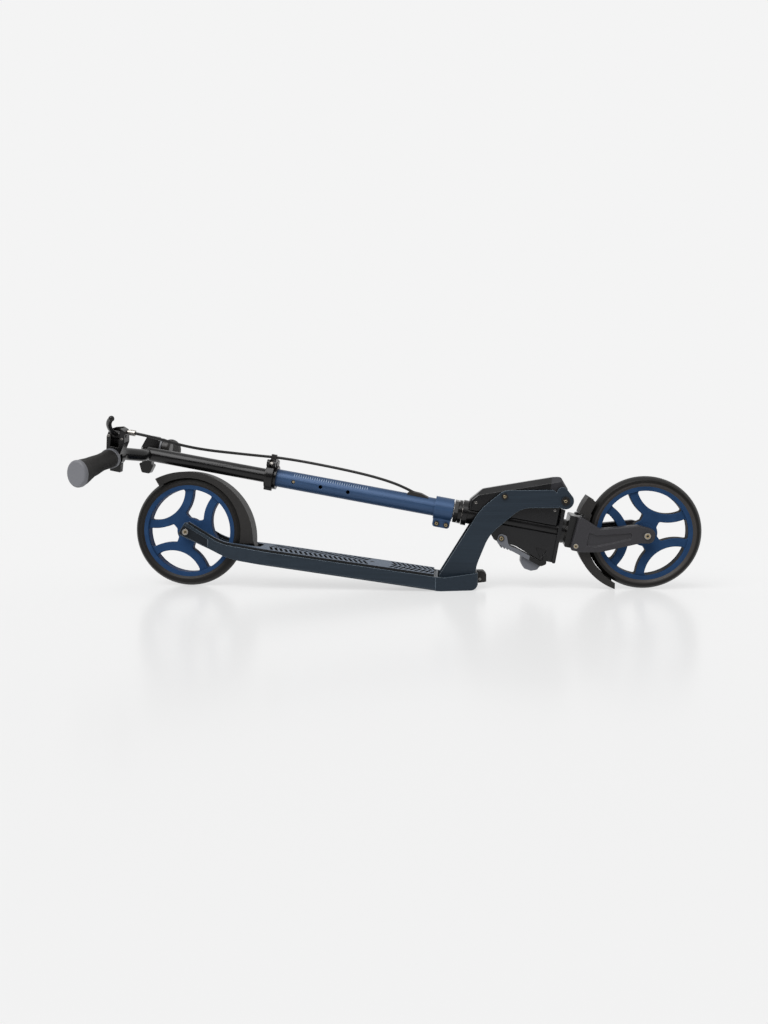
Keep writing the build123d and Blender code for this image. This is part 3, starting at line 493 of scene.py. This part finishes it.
# Painted highlight: the edges are painted a paler grey.
painted_edge_highlight = add(tree, "ShaderNodeMath", {0: near_edge, 1: 0.3}, operation="MULTIPLY")
cover(tree, shader, coat, painted_edge_highlight.outputs["Value"], "#6A6A6E")
dress(fork_finish, "fork_arm_right", "fork_arm_left")
dress(hard_black, "fork_crown")

# Front axle and fork bolt: zinc-plated steel with yellow sockets like that of the rear axle. The axle
# clamps the wheel between the arms, and the bolt holds the arms to the crown.
for name, s, t, y, d in (("front_axle", 822, 23.7, -40.4, 8.5), ("fork_bolt", 706, -17, -37.9, 6.5)):
    socket_head(f"{name}_socket", on_column(s, y, t), -steer_across, d * mm, 0.5 * mm, "steering",
                yellow_zinc, phosphate)

# Front brake shoe: a block of black rubber in the crown that is pushed on the tyre.
# Moulded rubber is dull, with a grey bloom.
shoe_rubber, tree, shader, place = new_finish("moulded_rubber_black", specular=0.25)
bloom = add(tree, "ShaderNodeTexNoise", {"Vector": place, "Scale": 1 / (1.5 * mm), "Detail": 3.0})
lay_pattern(tree, shader, bloom.outputs["Fac"], ("#141414", "#1E1E1E"), (0.6, 0.8), 0.05 * mm)
dress(shoe_rubber, "brake_shoe")

# T-bar: the telescopic inner tube with the bent handlebar welded across its end.
# Both are hard anodised black like the folding head.
dress(hard_black, "inner_tube", "handlebar")

# Grips: thermoplastic rubber sleeves pushed on the bar, finely ribbed round the hand, with a palm
# rest that swells towards the slanting end. The ribs are 2.4 mm apart and 0.35 mm deep.
grip_rubber, tree, shader, place = new_finish("moulded_rubber_dark_grey", specular=0.25)
skin = add(tree, "ShaderNodeTexNoise", {"Vector": place, "Scale": 1 / (1.1 * mm), "Detail": 3.0})
lay_pattern(tree, shader, skin.outputs["Fac"], ("#191817", "#222120"), (0.55, 0.7), 0.05 * mm)
# Ends of the straight run of the bar: along the column, across, and above its axis, in millimetres.
bar_bend, bar_end = Vector((-103, -66, 1.5)), Vector((-108.5, -243, -14))
bar_way = (bar_end - bar_bend).normalized()
bar_side = (Vector((1, 0, 0)) - bar_way * bar_way.x).normalized()
bar_over = bar_way.cross(bar_side)
grip_slant, grip_from, grip_to = 20, 122, 8
rib_pitch, rib_depth, rib_from, rib_to = 2.4, 0.35, 114, 22
grip_steps, round_steps = 240, 40
# Distance back from the bar's end, drop, half width, half height and lean of each station.
grip_stations = ((grip_from, 0.0, 15.5, 15.5, 0), (88, 0.0, 14.5, 14.5, 0), (50, -1.0, 16.0, 16.5, 0),
                 (grip_to, -4.0, 20.0, 21.5, grip_slant))


def grip_section(back):
    """Drop, half width, half height and lean of the grip at a distance from the bar's end."""
    for first, second in zip(grip_stations, grip_stations[1:]):
        if first[0] >= back >= second[0]:
            u = (first[0] - back) / (first[0] - second[0])
            u = u * u * (3 - 2 * u)
            return [p + (q - p) * u for p, q in zip(first[1:], second[1:])]


for hand, side in (("right", 1), ("left", -1)):
    rings = []
    for k in range(grip_steps + 1):
        back = grip_from - (grip_from - grip_to) * k / grip_steps
        drop, wide, tall, lean = grip_section(back)
        rib = rib_depth * (0.5 + 0.5 * cos(2 * pi * back / rib_pitch)) if rib_to < back < rib_from else 0.0
        wide_way = bar_side * cos(radians(lean)) + bar_way * sin(radians(lean))
        ring = []
        for i in range(round_steps):
            a = 2 * pi * i / round_steps
            p = bar_end - bar_way * back + bar_over * (drop + (tall - rib) * sin(a))
            p = p + wide_way * (wide - rib) * cos(a)
            ring.append(on_column(p.x, side * p.y, p.z))
        rings.append(ring)
    grip = piece(f"grip_sleeve_{hand}", ring_skin(f"grip_sleeve_{hand}", rings), "tbar", grip_rubber)
    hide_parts(f"grip_{hand}")

# Brake lever: a perch clamped on the bar and a two-finger blade, both aluminium and hard anodised.
# Bright screws close the clamp and hold the pivot.
dress(hard_black, "brake_perch", "brake_blade")
for k, (x, z) in enumerate(((-8.3, 38), (15, 36))):
    p = bar_end - bar_way * 131 + bar_side * x + bar_over * z
    outward = on_column(*(p + bar_way)) - on_column(*p)
    socket_head(f"perch_screw_{k}", on_column(*p), outward, 4 * mm, 0.8 * mm, "tbar", zinc, phosphate)

# Bell: a drawn steel cup on a black nylon clamp, rung by turning the cup with the thumb.
# The cup is painted satin grey-brown, and the ring at its open end is grey nylon.
bell_paint, tree, shader, place = new_finish("painted_steel_grey_brown", specular=0.4)
film = add(tree, "ShaderNodeTexNoise", {"Vector": place, "Scale": 1 / (6 * mm), "Detail": 3.0})
edge_normal = broken_edges(tree, 1.0 * mm)[0]
paint = lay_pattern(tree, shader, film.outputs["Fac"], ("#1E1C1B", "#282524"), (0.3, 0.42), 0.02 * mm,
                    edge_normal)
along = column_place(tree, place)[0]
ring = add(tree, "ShaderNodeMapRange", {"Value": along, "From Min": -66.3 * mm, "From Max": -66.7 * mm})
cover(tree, shader, paint, ring.outputs["Result"], "#5E5F63")
dress(bell_paint, "bell_dome")
dress(hard_black, "bell_base")

# Brake cable: a steel cable in a black PVC casing, from the barrel adjuster over the collar clip
# into the port of the column. The casing is extruded, and a little wavy in its gloss.
casing, tree, shader, place = new_finish("extruded_pvc_black", specular=0.35)
wave = add(tree, "ShaderNodeTexNoise", {"Vector": place, "Scale": 1 / (5 * mm), "Detail": 3.0})
lay_pattern(tree, shader, wave.outputs["Fac"], ("#121213", "#1C1B1A"), (0.36, 0.5), 0.01 * mm)
casing_r = 2.45
barrel = bar_end - bar_way * 145 + bar_side * 21 + bar_over * 47
route = [barrel, Vector((-45, barrel.y, barrel.z)), Vector((15, -52, 31)), Vector((105, -11, 33)),
         Vector((175, 0, 38)), Vector((285, 0, 37)), Vector((355, 0, 32.5)), Vector((402, 0, 23)),
         Vector((434, 0, 11))]
line = bpy.data.curves.new("brake_cable_route", "CURVE")
line.dimensions = "3D"
line.resolution_u = 16
line.bevel_depth = casing_r * mm
line.bevel_resolution = 4
line.use_fill_caps = True
spline = line.splines.new("NURBS")
spline.points.add(len(route) - 1)
for point, p in zip(spline.points, route):
    point.co = (*on_column(*p), 1)
spline.order_u = 3
spline.use_endpoint_u = True
guide = bpy.data.objects.new("brake_cable_route", line)
bpy.context.scene.collection.objects.link(guide)
tube = bpy.data.meshes.new_from_object(guide)
bpy.data.objects.remove(guide)
tube.materials.clear()
tube.materials.append(casing)
for face in tube.polygons:
    face.use_smooth = True
cable = bpy.data.objects.new("brake_cable_casing", tube)
bpy.context.scene.collection.objects.link(cable)
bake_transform(cable)
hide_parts("brake_cable")

# Studio: a pale floor with a faint gloss under an even pale background, one broad sun through a
# diffuser from above the camera, and a dark cloth behind the camera that keeps the blacks deep.
scene = bpy.context.scene
scene.view_settings.view_transform = "Standard"
pale = linear("#F4F4F4")
fill = 0.5
world = bpy.data.worlds.new("studio")
scene.world = world
world.use_nodes = True
tree = world.node_tree
ray = add(tree, "ShaderNodeLightPath")
seen = add(tree, "ShaderNodeMath", {0: ray.outputs["Is Camera Ray"], 1: ray.outputs["Is Glossy Ray"]},
           operation="ADD", use_clamp=True)
seen = add(tree, "ShaderNodeMath", {0: seen.outputs["Value"], 1: ray.outputs["Is Transmission Ray"]},
           operation="ADD", use_clamp=True)
strength = add(tree, "ShaderNodeMapRange", {"Value": seen.outputs["Value"], "To Min": fill, "To Max": 1.0})
tree.nodes["Background"].inputs["Color"].default_value = pale
tree.links.new(strength.outputs["Result"], tree.nodes["Background"].inputs["Strength"])


def sheet(name, finish, corners):
    """Flat four-cornered sheet of the studio."""
    made = bmesh.new()
    made.faces.new([made.verts.new(c) for c in corners])
    mesh = bpy.data.meshes.new(name)
    made.to_mesh(mesh)
    made.free()
    mesh.materials.append(finish)
    thing = bpy.data.objects.new(name, mesh)
    scene.collection.objects.link(thing)
    return thing


# Painted floor: it glows as the background does, and near the object a share of it takes shadow and
# a faint reflection.
floor_finish, tree, shader, place = new_finish("painted_floor_pale", specular=0.3)
shader.inputs["Base Color"].default_value = pale
shader.inputs["Roughness"].default_value = 0.2
away = add(tree, "ShaderNodeVectorMath", {0: place}, operation="LENGTH")
share = add(tree, "ShaderNodeMapRange", {"Value": away.outputs["Value"], "From Min": 0.7, "From Max": 1.5,
                                         "To Min": 0.4, "To Max": 0.0})
glow = add(tree, "ShaderNodeEmission", {"Color": pale, "Strength": 1.0})
both = add(tree, "ShaderNodeMixShader", {"Fac": share.outputs["Result"], 1: glow.outputs["Emission"],
                                         2: shader.outputs["BSDF"]})
tree.links.new(both.outputs["Shader"], tree.nodes["Material Output"].inputs["Surface"])
floor_half, floor_z = 40, -0.2 * mm
sheet("floor", floor_finish, [(x * floor_half, y * floor_half, floor_z)
                              for x, y in ((-1, -1), (1, -1), (1, 1), (-1, 1))])

# Black cloth: dull, and out of the camera's sight.
cloth, _, shader, _ = new_finish("woven_cotton_black", specular=0.1)
shader.inputs["Base Color"].default_value = linear("#1C1C1C")
shader.inputs["Roughness"].default_value = 0.9
cloth_half, cloth_high, cloth_y = 3.5, 1.6, -3.2
flag = sheet("black_cloth", cloth, [(x * cloth_half, cloth_y, z * cloth_high)
                                    for x, z in ((-1, 0), (1, 0), (1, 1), (-1, 1))])
flag.visible_camera = False

# Diffused sun: one broad lamp above the camera, as soft as a wide diffuser makes it.
lamp = bpy.data.lights.new("diffused_sun", "SUN")
lamp.energy = 2.34
lamp.angle = radians(50)
sun = bpy.data.objects.new("diffused_sun", lamp)
sun.rotation_mode = "QUATERNION"
sun.rotation_quaternion = Vector((0.35, 0.75, -0.9)).to_track_quat("-Z", "Y")
scene.collection.objects.link(sun)

# Camera: at the photograph's angle, placed so that the rear axle falls on its own point of the picture.
# The focal length and that point are in pixels of a picture 768 wide and 1024 high.
picture_w, picture_h = 768, 1024
focal, yaw, pitch = 920.0, radians(3.8), radians(3.5)
look = Vector((-sin(yaw) * cos(pitch), cos(yaw) * cos(pitch), -sin(pitch)))
right = Vector((cos(yaw), sin(yaw), 0))
up = Vector((-sin(yaw) * sin(pitch), cos(yaw) * sin(pitch), cos(pitch)))
rear_axle_px = (191.0, 530.3)
depth = 1.682
eye = Vector(joint["rear_spin"]["pos_m"]) - depth * (
    look + right * (rear_axle_px[0] - picture_w / 2) / focal + up * (picture_h / 2 - rear_axle_px[1]) / focal)
camera = bpy.data.cameras.new("camera")
camera.sensor_width = 36
camera.lens = camera.sensor_width * focal / picture_h
eye_point = bpy.data.objects.new("camera", camera)
eye_point.matrix_world = Matrix((
    (right.x, up.x, -look.x, eye.x), (right.y, up.y, -look.y, eye.y), (right.z, up.z, -look.z, eye.z),
    (0, 0, 0, 1)))
scene.collection.objects.link(eye_point)
scene.camera = eye_point
